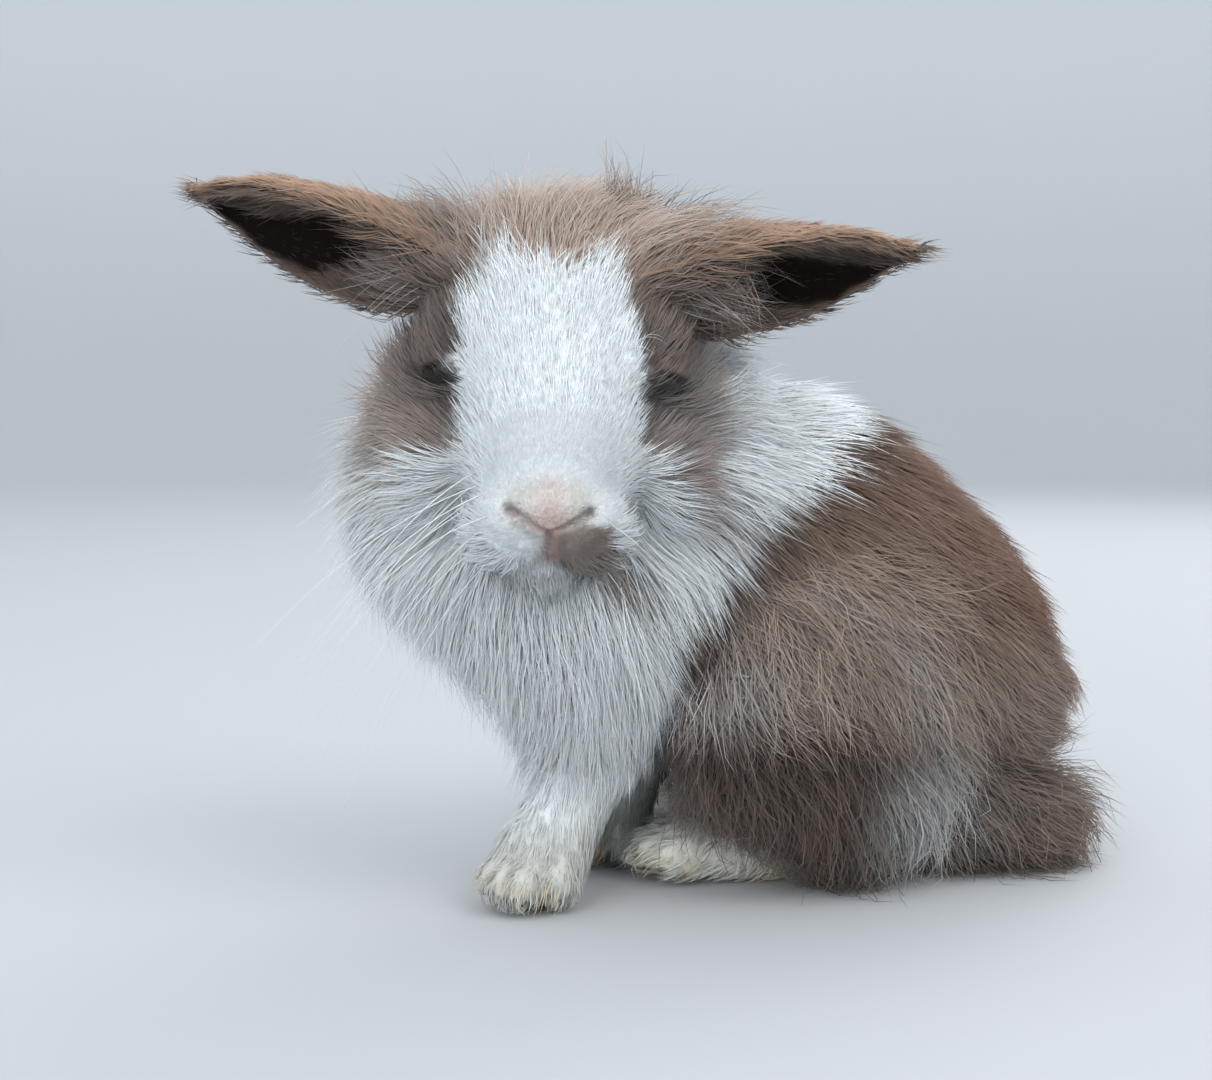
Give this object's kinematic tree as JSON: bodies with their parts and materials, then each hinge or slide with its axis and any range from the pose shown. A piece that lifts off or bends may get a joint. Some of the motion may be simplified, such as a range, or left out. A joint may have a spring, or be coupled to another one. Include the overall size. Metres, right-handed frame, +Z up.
{
  "type": "lionhead rabbit",
  "caption": "Young lionhead rabbit sitting with its head to the front: ears held out level, a woolly mane round the head, a white bib and blaze, and a brown back.",
  "frame": {"origin": "on the floor, under the middle of the whole animal's bounding box", "axes": "+Z up; the head faces -Y; +X is to the animal's left, and the rump lies towards +X and +Y"},
  "size_m": [0.1922, 0.1272, 0.1568],
  "materials": {
    "white_coat": "soft white fur",
    "brown_coat": "brown woolly fur",
    "tan_coat": "light brown wool",
    "ear_coat": "short brown fur",
    "eye": "wet and glossy"
  },
  "bodies": {
    "root": {"crown": "tan_coat", "ear_left": "ear_coat", "ear_right": "ear_coat", "eye_left": "eye", "eye_right": "eye", "foreleg_left": "white_coat", "foreleg_right": "white_coat", "head": "white_coat", "hind_foot_left": "white_coat", "hind_foot_right": "white_coat", "neck": "white_coat", "tail": "brown_coat", "thigh_left": "brown_coat", "thigh_right": "brown_coat", "torso": "brown_coat"}
  },
  "joints": []
}
